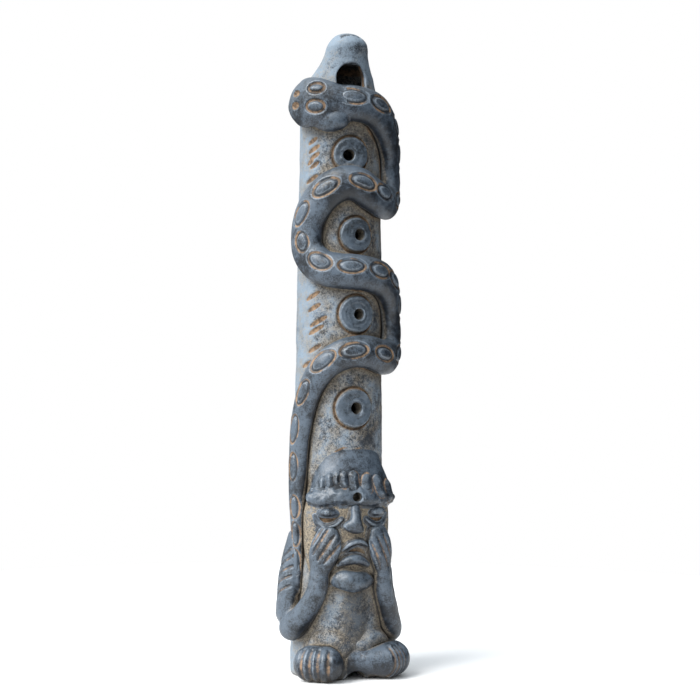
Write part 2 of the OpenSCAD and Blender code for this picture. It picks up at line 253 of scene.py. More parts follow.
def ellipse(x, y, a, b):
    k0 = np.sqrt((x / a) ** 2 + (y / b) ** 2)
    k1 = np.sqrt((x / a ** 2) ** 2 + (y / b ** 2) ** 2)
    return k0 * (k0 - 1) / np.maximum(k1, 1e-6)


def ellipsoid(s, u, v, a, b):
    """As ellipse, for half-axes of a across and b upwards and lengthwise."""
    k0 = np.sqrt((s / a) ** 2 + (u / b) ** 2 + (v / b) ** 2)
    k1 = np.sqrt((s / a ** 2) ** 2 + (u / b ** 2) ** 2 + (v / b ** 2) ** 2)
    return k0 * (k0 - 1) / np.maximum(k1, 1e-6)


class Roll:
    """A clay roll through rows of [angle, lift, height, half-width, half-thickness]."""

    def __init__(self, rows, steps=7):
        r = spline(rows, steps)
        self.c = polar(r[:, 0], tube_r(r[:, 2]) + r[:, 1], r[:, 2]).astype(F)
        along = unit(np.gradient(self.c, axis=0))
        out = polar(r[:, 0], 1.0, 0 * r[:, 0])
        self.side = unit(np.cross(along, out)).astype(F)
        self.up = unit(np.cross(self.side, along)).astype(F)
        self.w, self.t = r[:, 3].astype(F), r[:, 4].astype(F)

    def __call__(self, P):
        best = np.full(len(P), 1e3, F)
        for i in range(len(self.c) - 1):
            ab = self.c[i + 1] - self.c[i]
            q = P - self.c[i]
            t = np.clip(q @ ab / (ab @ ab), 0, 1)
            q = q - t[:, None] * ab
            s = (q @ self.side[i]) * (1 - t) + (q @ self.side[i + 1]) * t
            u = (q @ self.up[i]) * (1 - t) + (q @ self.up[i + 1]) * t
            v = q @ (ab / np.sqrt(ab @ ab))
            a = self.w[i] * (1 - t) + self.w[i + 1] * t
            b = self.t[i] * (1 - t) + self.t[i + 1] * t
            best = np.minimum(best, ellipsoid(s, u, v, a, b))
        return best


def loft(sections, z0=0.0, x0=0.0):
    rows = spline(sections, 5)

    def field(P):
        z = P[:, 2] - z0
        a, b, shift = (np.interp(z, rows[:, 0], rows[:, k]).astype(F) for k in (1, 2, 3))
        d = ellipse(P[:, 0] - x0, P[:, 1] + shift, a, b)
        return np.maximum(d, np.maximum(rows[0, 0] - z, z - rows[-1, 0]))
    return field


def stroke(P, points, width):
    """Distance in widths from a line through points, which thins out at both ends."""
    best = np.full(len(P), 1e3, F)
    n = len(points) - 1
    for i in range(n):
        a, b = np.array(points[i], F), np.array(points[i + 1], F)
        ab = b - a
        t = np.clip((P - a) @ ab / (ab @ ab), 0, 1)
        d = np.linalg.norm(P - a - t[:, None] * ab, axis=1)
        s = (i + t) / n
        thin = 0.55 + 0.45 * np.sin(np.pi * np.clip(s, 0.02, 0.98)) ** 0.6
        best = np.minimum(best, d / (width * thin))
    return best


def on_surface(field, places, steps=7):
    """Points on a surface, met from outside, along a line of [angle, height]."""
    places = np.array(places, float)
    t = np.linspace(0, len(places) - 1, steps)
    a, z = (np.interp(t, range(len(places)), places[:, k]) for k in (0, 1))
    r = np.arange(30, 10, -0.15)
    grid = [g.ravel() for g in np.broadcast_arrays(a[:, None], r[None], z[:, None])]
    d = field(polar(*grid).astype(F)).reshape(steps, -1)
    return polar(a, r[(d < 0).argmax(1)], z).astype(F)


def skin_point(angle, z, lift):
    return polar(angle, tube_r(z) + lift, z)


def tube_solid(P):
    r = np.hypot(P[:, 0], P[:, 1])
    return np.maximum(smax(r - tube_r(P[:, 2]), -P[:, 2], 1.2), P[:, 2] - TUBE_H)


def drill(P, angle, z, radius):
    a = math.radians(angle)
    side = P[:, 0] * math.cos(a) + P[:, 1] * math.sin(a)
    ahead = P[:, 0] * math.sin(a) - P[:, 1] * math.cos(a)
    return np.where(ahead > 0, np.hypot(side, P[:, 2] - z) - radius, 9.0)


def forehead_hole(P):
    return drill(P, FOREHEAD[0], FOREHEAD[1], FOREHEAD_R)


face_slab = loft(FACE)
cap_dome = loft(CAP, x0=CAP_SHIFT)


def limb(side, name):
    sign = -1 if side == "left" else 1
    rolls = {**LIMBS, **RIGHT_LIMBS} if side == "right" else LIMBS
    return [[sign * r[0] + FIGURE_AT, *r[1:]] for r in rolls[name]]


def on_base(shape, base, k=0.9, reach=1.2, sink=0.45):
    """A piece of clay pressed on what it lies on: a small fillet round it, and its underside just under that."""
    def field(P):
        d, b = shape(P), base(P)
        return np.maximum(np.maximum(smin(d, b + CONTACT, k), -(b + sink)), d - reach)
    return field


# ---- The snake's middle line ----

PITCH = 0.36 * COARSE
# Steps of the map of nearest places, in degrees and millimetres, and how many places it passes over
MAP_STEP_A, MAP_STEP_Z, MAP_SKIP = 2.0, 1.0, 3


def middle_line():
    """Evenly spaced places: how far along, the point, and rows of [angle, height, half-width, half-thickness]."""
    rows = []
    for i, (a, z) in enumerate(SNAKE):
        t = max(0, (i - TAPER_FROM) / (len(SNAKE) - 1 - TAPER_FROM))
        w = SNAKE_W * (1 - 0.28 * min(1, 2 * t) - 0.5 * max(0, t - 0.6) / 0.4)
        h = SNAKE_T * (1 - 0.3 * min(1, 2 * t) - 0.4 * max(0, t - 0.6) / 0.4)
        start = 1 - 0.2 * max(0, 1.5 - i) / 1.5
        rows.append([a, z, w * start, h * start])
    rows = spline(rows, 12)
    line = polar(rows[:, 0], tube_r(rows[:, 1]) + 0.62 * rows[:, 3], rows[:, 1])
    run = np.concatenate([[0], np.cumsum(np.linalg.norm(np.diff(line, axis=0), axis=1))])
    along = np.linspace(0, run[-1], int(run[-1] / PITCH))
    points, places = (np.stack([np.interp(along, run, of[:, k]) for k in range(of.shape[1])], -1)
                      for of in (line, rows))
    return along, points, places


S, LINE, PLACES = middle_line()
ALONG = unit(np.gradient(LINE, axis=0))
SIDE = unit(np.cross(ALONG, polar(PLACES[:, 0], 1.0, 0 * PLACES[:, 0])))
UP = unit(np.cross(SIDE, ALONG))
W, T = PLACES[:, 2], PLACES[:, 3]


def nearest_map(chunk=4000):
    """The place on the middle line nearest to each angle and height on the tube."""
    a, z = np.meshgrid(np.arange(-180, 180, MAP_STEP_A), np.arange(0, 216, MAP_STEP_Z), indexing="ij")
    P = polar(a.ravel(), tube_r(z.ravel()) + 2.5, z.ravel()).astype(F)
    line = LINE[::MAP_SKIP].astype(F)[None]
    near = [((P[c:c + chunk, None] - line) ** 2).sum(-1).argmin(1) for c in range(0, len(P), chunk)]
    return (np.concatenate(near) * MAP_SKIP).reshape(a.shape)


NEAR = nearest_map()


def snake_place(P):
    """For each point: its place along the snake, across it and above its middle line."""
    ia = ((angle_of(P) + 180) / MAP_STEP_A + 0.5).astype(int) % NEAR.shape[0]
    iz = np.clip((P[:, 2] / MAP_STEP_Z + 0.5).astype(int), 0, NEAR.shape[1] - 1)
    j = NEAR[ia, iz]
    for _ in range(2):
        q = P - LINE[j]
        j = np.clip(j + np.round((q * ALONG[j]).sum(-1) / (S[1] - S[0])).astype(int), 0, len(S) - 1)
    q = P - LINE[j]
    return j, (q * SIDE[j]).sum(-1), (q * UP[j]).sum(-1), (q * ALONG[j]).sum(-1)


def snake_field(P):
    j, s, u, v = snake_place(P)
    return ellipsoid(s, u, v, W[j], T[j]).astype(F)


# ---- Meshes from fields ----

CORNERS = np.array([[x, y, z] for x in (0, 1) for y in (0, 1) for z in (0, 1)])
EDGES = [(a, b) for a in range(8) for b in range(a + 1, 8) if abs(CORNERS[a] - CORNERS[b]).sum() == 1]
BLOCK = 6


def sample(field, P, chunk=400000):
    return np.concatenate([field(P[c:c + chunk]) for c in range(0, len(P), chunk)]).astype(F)


def gradient(field, P, e=0.06):
    g = 0
    for v in ([1, -1, -1], [-1, -1, 1], [-1, 1, -1], [1, 1, 1]):
        v = np.array(v, F)
        g = g + sample(field, P + e * v)[:, None] * v
    return g / (4 * e)


def grid_of(field, lo, hi, h, reach=1.7):
    """Field values on a grid, worked out finely only near the surface."""
    nb = np.ceil((hi - lo) / (h * BLOCK)).astype(int) + 1
    idx = np.indices(nb).reshape(3, -1).T
    mid = lo + (idx * BLOCK + (BLOCK - 1) / 2) * h
    d = sample(field, mid.astype(F))
    D = np.repeat(np.repeat(np.repeat(d.reshape(nb), BLOCK, 0), BLOCK, 1), BLOCK, 2)
    hot = idx[np.abs(d) < reach * h * BLOCK * 0.87 + 0.4]
    off = np.indices((BLOCK,) * 3).reshape(3, -1).T
    at = (hot[:, None] * BLOCK + off[None]).reshape(-1, 3)
    D[at[:, 0], at[:, 1], at[:, 2]] = sample(field, (lo + at * h).astype(F))
    return D


def surface(D, lo, h):
    inside = D < 0
    n = np.array(D.shape) - 1
    count = np.zeros(n, np.int8)
    for c in CORNERS:
        count += inside[c[0]:c[0] + n[0], c[1]:c[1] + n[1], c[2]:c[2] + n[2]]
    active = (count > 0) & (count < 8)
    cells = np.argwhere(active)
    index = np.full(n, -1, np.int64)
    index[active] = np.arange(len(cells))
    value = np.stack([D[tuple((cells + c).T)] for c in CORNERS], -1)
    total, hits = np.zeros((len(cells), 3)), np.zeros(len(cells))
    for a, b in EDGES:
        va, vb = value[:, a], value[:, b]
        cross = (va < 0) != (vb < 0)
        t = np.where(cross, va / np.where(cross, va - vb, 1), 0)
        total += cross[:, None] * (CORNERS[a] + t[:, None] * (CORNERS[b] - CORNERS[a]))
        hits += cross
    verts = lo + (cells + total / hits[:, None]) * h
    quads = []
    for axis in range(3):
        one, two = [a for a in range(3) if a != axis]
        first = [slice(None)] * 3
        second = [slice(None)] * 3
        first[axis], second[axis] = slice(0, -1), slice(1, None)
        change = inside[tuple(first)] != inside[tuple(second)]
        at = np.argwhere(change)
        at = at[(at[:, one] > 0) & (at[:, two] > 0) & (at[:, one] < n[one]) & (at[:, two] < n[two])]
        ring = []
        for d1, d2 in ((-1, -1), (0, -1), (0, 0), (-1, 0)):
            cell = at.copy()
            cell[:, one] += d1
            cell[:, two] += d2
            ring.append(index[tuple(cell.T)])
        ring = np.stack(ring, -1)
        flip = inside[tuple(at.T)] == (axis == 1)
        ring[flip] = ring[flip][:, ::-1]
        quads.append(ring)
    return verts.astype(F), np.concatenate(quads)


def relax(verts, quads, amount=0.6):
    total, hits = np.zeros((len(verts), 3)), np.zeros(len(verts))
    for a, b in ((0, 1), (1, 2), (2, 3), (3, 0)):
        for i, j in ((quads[:, a], quads[:, b]), (quads[:, b], quads[:, a])):
            hits += np.bincount(i, minlength=len(verts))
            for k in range(3):
                total[:, k] += np.bincount(i, verts[j, k], minlength=len(verts))
    return (verts + amount * (total / np.maximum(hits, 1)[:, None] - verts)).astype(F)


def mesh_of(field, lo, hi, h, rounds=2):
    h = h * COARSE
    lo, hi = np.array(lo, float) - 2 * h, np.array(hi, float) + 2 * h
    verts, quads = surface(grid_of(field, lo, hi, h), lo, h)
    for _ in range(rounds):
        verts = relax(verts, quads)
        g = gradient(field, verts)
        size = np.maximum((g ** 2).sum(1), 0.2)
        move = g * (sample(field, verts) / size)[:, None]
        verts = (verts - np.clip(move, -0.5 * h, 0.5 * h)).astype(F)
    return verts, quads, unit(gradient(field, verts)).astype(F)


SCULPT = {}


def lumps(P, fine=1.0):
    """How far hand-worked clay stands off its ideal surface."""
    return (0.16 * noise(P, 9.0, 1) + 0.09 * noise(P, 3.6, 2)
            + fine * (0.045 * noise(P, 1.5, 3) + 0.02 * noise(P, 0.7, 4))).astype(F)


def room(node):
    lo, hi = cad_box(node)
    return lo - MARGIN, hi + MARGIN


def sculpt(name, node, slot, field, h=0.36, marks=None, lump=1.0, fine=1.0, pale=0.0):
    """Meshes a field. marks: how much ochre each point holds; pale: how much more bloom and painted light it has, and
    how much less painted shade.
    """
    lo, hi = room(node)
    verts, quads, normals = mesh_of(field, lo, hi, h)
    SCULPT[name] = dict(node=node, slot=slot, verts=verts, quads=quads, normals=normals, field=field,
                        marks=marks, lump=lump, fine=fine, box=(lo, hi), pitch=h * COARSE, pale=pale)


# ---- Tube and beak ----

def slash_lines():
    out = []
    for a, z, length in SLASHES:
        da = math.degrees(0.48 * length / tube_r(z))
        out.append([skin_point(a - da, z - 0.24 * length, 0), skin_point(a + da, z + 0.24 * length, 0)])
    return out


SLASH_LINES = slash_lines()
SLASH_W, SLASH_NEAR = 0.85, 6
SEAM_Z = 77
CAP_SEAM = [skin_point(a, z, 0.2) for a, z in ((-24, 75.8), (-12, 77.2), (2, 76.8), (13, 77))]


def pad_place(P, i):
    a, ha, z, size = FINGERS[i]
    x, y = on_tube(P, a, z)
    hx, hy = on_tube(P, ha, z)
    return np.hypot(x, y) - PAD_R * size, np.hypot(hx, hy)


def ring_dips(P):
    d = 0
    for i in range(len(FINGERS)):
        edge, _ = pad_place(P, i)
        d = np.maximum(d, dip(edge - 0.25, 0.45))
    return d


def near_front(P):
    return np.abs(angle_of(P)) < 120


def cap_seam(P):
    """Earth left along the seam where the cap's top meets the tube."""
    out = np.zeros(len(P), F)
    m = (np.abs(P[:, 2] - SEAM_Z) < 3) & near_front(P)
    if m.any():
        out[m] = dip(stroke(P[m], CAP_SEAM, 0.6), 1.0) * np.clip(0.7 + 1.2 * noise(P[m], 2.2, 33), 0, 1)
    return out


def slashes(P, where):
    """For each slash, the points near it and their distances from it in widths."""
    for points in SLASH_LINES:
        m = (np.abs(P[:, 2] - points[0][2]) < SLASH_NEAR) & where
        if m.any():
            yield m, stroke(P[m], points, SLASH_W)


def tube_cuts(P):
    """Ochre earth on the tube: in the rings round the pads, the slashes and the cap's seam, and beside the snake."""
    shore = 0.9 * dip(snake_field(P) - 0.6, 0.7) * np.clip(0.35 + 1.4 * noise(P, 7.0, 35), 0, 1)
    out = np.maximum(np.maximum(ring_dips(P) * near_front(P), cap_seam(P)), shore)
    for m, s in slashes(P, True):
        out[m] = np.maximum(out[m], np.minimum(1.5 * dip(s, 0.9), 1.15))
    return out


def tube_field(P):
    d = tube_solid(P)
    r = np.hypot(P[:, 0], P[:, 1])
    skin = r > 0.5 * (BORE_R + FOOT_R) - 1
    rings = ring_dips(P) * near_front(P)
    cut = np.zeros(len(P), F)
    lip = np.zeros(len(P), F)
    for m, s in slashes(P, P[:, 0] < 0):
        cut[m] = np.maximum(cut[m], 0.62 * dip(s, 0.8))
        lip[m] = np.maximum(lip[m], 0.06 * dip(s - 1.7, 0.4))
    x, y = on_tube(P, 1, BELLY_Z)
    belly = 0.7 * dip(np.hypot(x / 4.2, y / 12), 1.0)
    d = d + skin * (0.7 * rings + cut - lip - belly)
    for _, ha, z, _ in FINGERS:
        d = smax(d, -drill(P, ha, z, HOLE_R), 0.4)
    d = smax(d, -forehead_hole(P), 0.3)
    d = smax(d, -drill(P, *ARCH), 0.8)
    return smax(d, BORE_R - r, 0.8).astype(F)


def tube_bloom_and_shade(P):
    """Paler along both sides, part bloom and part painted light; darker down the belly, as painted shade; and even
    round the back.
    """
    a = angle_of(P)
    x, y = on_tube(P, 2, BELLY_Z)
    return (0.5 * step(-48, -66, a) * step(-172, -100, a) + 0.4 * dip(a - 46, 12)
            - 0.9 * dip(np.hypot(x / 4, y / 11), 1.0)
            - 0.25 * dip((P[:, 2] - 80) / 8, 1.0) * step(-10, 20, a) * step(130, 80, a)).astype(F)


sculpt("clay_tube", "flute_tube", "tube_clay", tube_field, 0.42, marks=tube_cuts, pale=tube_bloom_and_shade)

beak_solid, chamber = loft(BEAK, TUBE_H), loft(CHAMBER, TUBE_H)
WINDOW_LO, WINDOW_TOP, WINDOW_R = TUBE_H + 7, TUBE_H + 15.4, 5.0
WINDWAY_HALF_W = 3.5


def beak_window(P):
    z = P[:, 2]
    arch = np.hypot(P[:, 0], z - (WINDOW_TOP - WINDOW_R)) - WINDOW_R
    slot = np.maximum(np.abs(P[:, 0]) - WINDOW_R, z - (WINDOW_TOP - WINDOW_R))
    d = np.minimum(arch, slot)
    return np.maximum(np.maximum(d, WINDOW_LO - z), P[:, 1])


def flat_bar(P, ahead, half_depth, bottom):
    """An upright bar as wide as the windway, its middle so far in front of the bore's."""
    d = np.maximum(np.abs(P[:, 0]) - WINDWAY_HALF_W, np.abs(P[:, 1] + ahead) - half_depth)
    return np.maximum(d, bottom - P[:, 2])


def beak_field(P):
    d = beak_solid(P)
    d = smax(d, -chamber(P), 0.5)
    d = smax(d, -beak_window(P), 0.7)
    return smax(d, -flat_bar(P, 7.2, 3.4, WINDOW_TOP - 1), 0.3).astype(F)


def beak_inside(P):
    d = beak_solid(P)
    return 0.9 * step(-0.5, -1.4, d) * step(-3.6, -2.6, d)


def plug_field(P):
    return smax(flat_bar(P, 6.3, 2.5, WINDOW_TOP), beak_solid(P), 0.3).astype(F)


sculpt("clay_beak", "mouthpiece", "tube_clay", beak_field, 0.36, marks=beak_inside, pale=tube_bloom_and_shade)
sculpt("clay_plug", "windway_plug", "tube_clay", plug_field, 0.34)


# ---- Finger pads ----

def pad_field(i):
    _, ha, z, _ = FINGERS[i]

    def field(P):
        edge, hole = pad_place(P, i)
        r = np.hypot(P[:, 0], P[:, 1])
        over = r - tube_r(P[:, 2])
        shape = PAD_LIFT - 0.25 - 0.6 * dip(np.maximum(hole - 2.4, 0), 1.9)
        if i == 2:
            shape = shape - 0.12 * dip(edge + 2.8, 0.4) - 0.1 * dip(edge + 1.6, 0.35)
        else:
            shape = shape + 0.4 * dip(hole - 2.7, 0.55) * (0.6 + 0.6 * noise(P, 1.6, 9))
        top = over - shape
        d = smax(top, edge + 0.4, 0.8)
        d = np.maximum(d, -(over + 0.9))
        d = smax(d, -drill(P, ha, z, HOLE_R), 0.35)
        if i == 0:
            d = smax(d, -(snake_field(P) - 0.02), 0.2)
        return np.where(near_front(P), d, 9).astype(F)
    return field


for i in range(len(FINGERS)):
    sculpt(f"clay_pad_{i + 1}", f"finger_pad_{i + 1}", "burnished_clay", pad_field(i), 0.26, lump=1.3, fine=1.8,
           pale=0.35)


# ---- Snake's head ----

head_roll, throat = Roll(HEAD), Roll(THROAT)
# Ringed eyes and nostril pits: [angle, height, half-length, half-width]
EYES = [[-42.5, 196.0, 3.1, 2.1], [-43, 189.9, 3.5, 2.5]]
NOSTRILS = [[-66, 194.6, 2.0, 1.1], [-67, 190.6, 2.3, 1.2]]
HEAD_R = tube_r(192) + 6.5


def head_place(P, a, z):
    return turn(angle_of(P), a) * math.radians(1.0) * HEAD_R, P[:, 2] - z


def head_marks(P):
    out = np.zeros(len(P), F)
    outer = np.hypot(P[:, 0], P[:, 1]) > HEAD_R - 4.5
    for a, z, long, wide in EYES:
        d = ellipse(*head_place(P, a, z), long, wide)
        out = np.maximum(out, dip(d + 0.5, 0.45))
    for a, z, long, wide in NOSTRILS:
        d = ellipse(*head_place(P, a, z), long, wide)
        out = np.maximum(out, 1 - step(-0.3, 0.4, d))
    return out * outer


def head_field(P):
    outer = np.hypot(P[:, 0], P[:, 1]) > HEAD_R - 4.5
    relief = np.zeros(len(P), F)
    for a, z, long, wide in EYES:
        e = ellipse(*head_place(P, a, z), long, wide)
        relief += 0.62 * dip(e + 0.5, 0.45) - 0.08 * dip(e - 0.4, 0.35) - 0.3 * (1 - step(-1.9, -0.9, e))
    for a, z, long, wide in NOSTRILS:
        e = ellipse(*head_place(P, a, z), long, wide)
        relief += 0.9 * (1 - step(-0.9, 0.35, e)) - 0.06 * dip(e - 0.5, 0.35)
    d = smin(head_roll(P) + relief * outer, throat(P), 0.5)
    body = snake_field(P)
    base = np.minimum(np.minimum(tube_solid(P), body), beak_solid(P))
    # Above its middle the head runs smoothly into the body; below, a fold stays between them
    k = 1.2 + 1.2 * step(188.5, 192.5, P[:, 2])
    joined = np.maximum(smin(d, body + 0.05, k), d - 2.4)
    return np.maximum(joined, -(base + SINK)).astype(F)


sculpt("clay_snake_head", "snake_head", "burnished_clay", head_field, 0.3, marks=head_marks, pale=0.12)


# ---- Figure ----

def body_base(P):
    return np.minimum(tube_solid(P), np.minimum(face_slab(P), cap_dome(P)))


def pair(name):
    return {s: Roll(limb(s, name)) for s in ("left", "right")}


hands, forearms, upper_arms, legs = pair("hand"), pair("forearm"), pair("upper_arm"), pair("leg")
lids_up, lids_low = pair("upper_eyelid"), pair("lower_eyelid")
nose, lip_up, lip_low, chin = Roll(NOSE), Roll(UPPER_LIP), Roll(LOWER_LIP), Roll(CHIN)
rim = Roll(RIM, 3)
SOCKETS = [[-32, 53.6], [30, 53.8]]


def socket_dips(P):
    d = 0
    for a, z in SOCKETS:
        x, y = on_tube(P, a, z)
        d = d + dip(np.hypot(x / 4.2, y / 2.6), 1.0)
    return d


def face_field(P):
    d = face_slab(P)
    x, y = on_tube(P, *MOUTH)
    mouth = dip(np.hypot(x / 4.4, y / 1.7), 1.0)
    beside_nose = sum(dip(np.hypot((x - at) / 2.4, (P[:, 2] - 50) / 4.5), 1.0) for at in (-6.5, 6.5))
    d = d + 1.0 * socket_dips(P) + 1.1 * mouth + 0.5 * beside_nose
    d = smax(d, -forehead_hole(P), 0.3)
    d = smax(d, 32.2 - P[:, 2], 1.5)
    return np.maximum(d, -(tube_solid(P) + SINK)).astype(F)


def face_earth(P):
    """Ochre earth in the eye sockets and round the mouth."""
    x, y = on_tube(P, *MOUTH)
    return 0.75 * np.maximum(socket_dips(P), dip(np.hypot(x / 5, y / 2.6), 1.0))


sculpt("clay_face", "face", "face_clay", face_field, 0.34, marks=face_earth)


def tuft_edge(P):
    edge = np.full(len(P), 9.0, F)
    for k, (a, z, half_w, half_l) in enumerate(TUFTS):
        x, y = on_tube(P, a, z)
        x = x * 1.2 + 0.14 * y * math.sin(2.3 * k)
        reach = half_l - half_w
        edge = np.minimum(edge, np.hypot(x, y - np.clip(y, -reach, reach)) - half_w)
    return edge


def beside_tufts(P):
    broken = np.clip(0.75 + 1.1 * noise(P, 2.6, 31), 0, 1)
    return 0.65 * dip(tuft_edge(P) - 0.2, 0.5) * broken * step(-45, -5, angle_of(P))


def cap_field(P):
    d = smax(cap_dome(P), P[:, 2] - 76.6 + 0.012 * P[:, 0] ** 2, 3.0)
    d = smax(d, -forehead_hole(P), 0.3)
    d = smin(d, tube_solid(P) + CONTACT, 1.3)
    d = np.maximum(d, cap_dome(P) - 1.1)
    return np.maximum(d, -(tube_solid(P) + SINK)).astype(F)


sculpt("clay_cap", "cap", "burnished_clay", cap_field, 0.34,
       marks=lambda P: np.maximum(beside_tufts(P), cap_seam(P)))


def rim_field(P):
    d = on_base(rim, body_base, 1.6, 1.4)(P) - 0.35 * noise(P, 3.2, 15) - 0.22 * noise(P, 1.3, 16)
    return smax(d, -forehead_hole(P), 0.35)


sculpt("clay_cap_rim", "cap_rim", "burnished_clay", rim_field, 0.3, marks=beside_tufts, lump=1.5, fine=2.0,
       pale=lambda P: 0.3 * step(10, -30, angle_of(P)))


def fringe_field(P):
    """Flat tongues of clay laid side by side on the cap, round at the top and run into the rim."""
    edge = tuft_edge(P)
    dome = cap_dome(P)
    d = dome - 1.35 * np.sqrt(np.clip(0.3 - edge, 0, 1.9) / 1.9) + 0.25
    d = np.maximum(np.maximum(d, edge - 0.3), -(dome + SINK))
    return smax(d, -(rim(P) + 0.6), 0.3).astype(F)


sculpt("clay_fringe", "hair_fringe", "burnished_clay", fringe_field, 0.26, marks=beside_tufts)
for name, node, shape in (("clay_nose", "nose", nose), ("clay_upper_lip", "upper_lip", lip_up),
                          ("clay_lower_lip", "lower_lip", lip_low)):
    sculpt(name, node, "burnished_clay", on_base(shape, body_base, 0.9, 1.1), 0.27)


def chin_field(P):
    return on_base(chin, body_base, 2.2, 1.8)(P) - 0.5 * noise(P, 3.6, 17)


sculpt("clay_chin", "chin_roll", "burnished_clay", chin_field, 0.3, lump=1.8, pale=0.15)

# Cuts between the fingers, and the feathers cut in the left upper arm: lines of [angle, height]
FINGER_CUTS = {
    "left": [[[-45.5, 45], [-34.5, 51]], [[-43, 42.2], [-28.7, 50.5]], [[-37.5, 40.4], [-22.3, 48.5]],
             [[-32, 39.4], [-16.6, 45.8]]],
    "right": [[[10.5, 44], [20.5, 37.5]], [[15, 45.8], [27.4, 36.6]], [[21.8, 47.4], [36, 37.4]],
              [[29.5, 48.2], [42, 39.4]]]}
FEATHER_CUTS = [
    [[-69.5, 44], [-70, 35], [-71, 26]], [[-90, 40.4], [-76, 44]], [[-92, 37.4], [-71, 41.6]],
    [[-96, 34], [-71, 38]], [[-98, 30.6], [-71, 34.8]], [[-94, 27.6], [-72, 31.4]]]


def cuts_in(field, places, width, steps=7):
    """How deep in a cut each point is, from 0 to 1, for cuts drawn on a surface."""
    lines = [on_surface(field, p, steps) for p in places]

    def marks(P):
        out = np.zeros(len(P), F)
        for points in lines:
            lo, hi = points.min(0) - 3 * width, points.max(0) + 3 * width
            m = ((P > lo) & (P < hi)).all(1)
            if m.any():
                out[m] = np.maximum(out[m], dip(stroke(P[m], points, width), 1.0))
        return out
    return marks


def arm(side):
    """One arm: its three rolls run into each other, and each piece keeps its own part."""
    parts = {"hand": hands[side], "forearm": forearms[side], "upper_arm": upper_arms[side]}
    cuts = {"hand": cuts_in(hands[side], FINGER_CUTS[side], 0.62)}
    if side == "left":
        cuts["upper_arm"] = cuts_in(upper_arms[side], FEATHER_CUTS, 0.5)

    def piece(own):
        def field(P):
            d = {k: f(P) for k, f in parts.items()}
            whole = smin(smin(d["hand"], d["forearm"], 1.6), d["upper_arm"], 1.6)
            others = np.minimum(*[d[k] for k in parts if k != own])
            base = body_base(P)
            if side == "left":
                base = np.minimum(base, snake_field(P))
            out = np.maximum(smin(whole, base + CONTACT, 0.9), -(base + SINK))
            out = np.maximum(out, d[own] - 1.3)
            if own in cuts:
                out = out + 0.85 * cuts[own](P)
            return smax(out, (d[own] - others) / 2 - 0.35, 0.6).astype(F)
        return field
    for own in parts:
        sculpt(f"clay_{side}_{own}", f"{side}_{own}", "burnished_clay", piece(own), 0.3,
               marks=cuts.get(own), pale=0.1 if side == "left" else 0.0)


for side in ("left", "right"):
    arm(side)
    for name, pieces in (("upper_eyelid", lids_up), ("lower_eyelid", lids_low)):
        sculpt(f"clay_{side}_{name}", f"{side}_{name}", "burnished_clay",
               on_base(pieces[side], body_base, 0.6, 0.8), 0.24)


def foot_shape(side):
    ankle_at, ankle_out, ankle_z, ankle_r, toes_at = FEET[side]
    ankle = polar(ankle_at, ankle_out, ankle_z).astype(F)
    out = polar(toes_at, 1.0, 0.0).astype(F)
    across = np.array([-out[1], out[0], 0], F)
    heart = (out * TOE_REACH + np.array([0, 0, TOE_R], F)).astype(F)

    def field(P):
        best = np.full(len(P), 1e3, F)
        for spread in (-TOE_SPREAD, -TOE_SPREAD / 2, 0, TOE_SPREAD / 2, TOE_SPREAD):
            tip = heart + across * spread
            ab = tip - ankle
            q = P - ankle
            t = np.clip(q @ ab / (ab @ ab), 0, 1)
            r = ankle_r + (TOE_R - ankle_r) * t
            best = np.minimum(best, np.linalg.norm(q - t[:, None] * ab, axis=1) - r)
        return np.maximum(best, -P[:, 2])
    return field


TOE_CUTS = {"left": [-48, -41, -34.5, -26], "right": [32.5, 37, 42, 48]}
for side in ("left", "right"):
    shape = foot_shape(side)
    cuts = cuts_in(shape, [[[a, 12], [a, 9], [a, 4.5], [a, 0.6]] for a in TOE_CUTS[side]], 0.8, 9)

    def foot_field(P, shape=shape, cuts=cuts):
        d = shape(P) + 1.1 * cuts(P)
        base = tube_solid(P)
        out = np.maximum(smin(d, base + CONTACT, 2.4), -(base + SINK))
        out = smax(np.maximum(out, d - 2.0), -drill(P, *ARCH), 0.8)
        return smax(out, -P[:, 2], 0.8).astype(F)

    sculpt(f"clay_{side}_foot", f"{side}_foot", "burnished_clay", foot_field, 0.32, marks=cuts, pale=-0.2)
    sculpt(f"clay_{side}_leg", f"{side}_leg", "tube_clay", on_base(legs[side], tube_solid, 3.2, 2.2), 0.32,
           pale=-0.25)


# ---- Snake's body: a sweep along its middle line with the ovals stamped in it ----

def oval_places():
    found = []
    for a, z, long, wide in OVALS:
        p = polar(a, tube_r(z) + 6.0, z)
        j = int(((LINE + UP * 3.8 - p) ** 2).sum(-1).argmin())
        off = float(np.clip((p - LINE[j]) @ SIDE[j], -1.9, 1.9))
        found.append([S[j], off, long, wide])
    found.sort()
    extra = []
    for one, two in zip(found, found[1:]):
        gap = two[0] - one[0]
        n = int(round(gap / OVAL_GAP)) - 1
        for k in range(n):
            extra.append([one[0] + gap * (k + 1) / (n + 1), 0.0, 4.4, 3.0])
    return found + extra


OVALS_AT = oval_places()


def body_relief(s, y):
    """Height and earth mask of the stamped ovals, along the body and across it."""
    height, fill = np.zeros_like(s), np.zeros_like(s)
    for at, off, long, wide in OVALS_AT:
        m = np.abs(s - at) < long + 2.5
        x, v = s[m] - at, y[m] - off
        d = ellipse(x, v, long, wide)
        q = np.clip((x / (long - 0.8)) ** 2 + (v / (wide - 0.8)) ** 2, 0, 1)
        height[m] += (-0.42 * dip(d + 0.6, 0.36) - 0.22 * dip(d + 0.1, 0.35) + 0.08 * dip(d - 0.5, 0.35)
                      + 0.32 * (1 - q))
        fill[m] = np.maximum(fill[m], dip(d + 0.05, 0.4))
    return height, fill


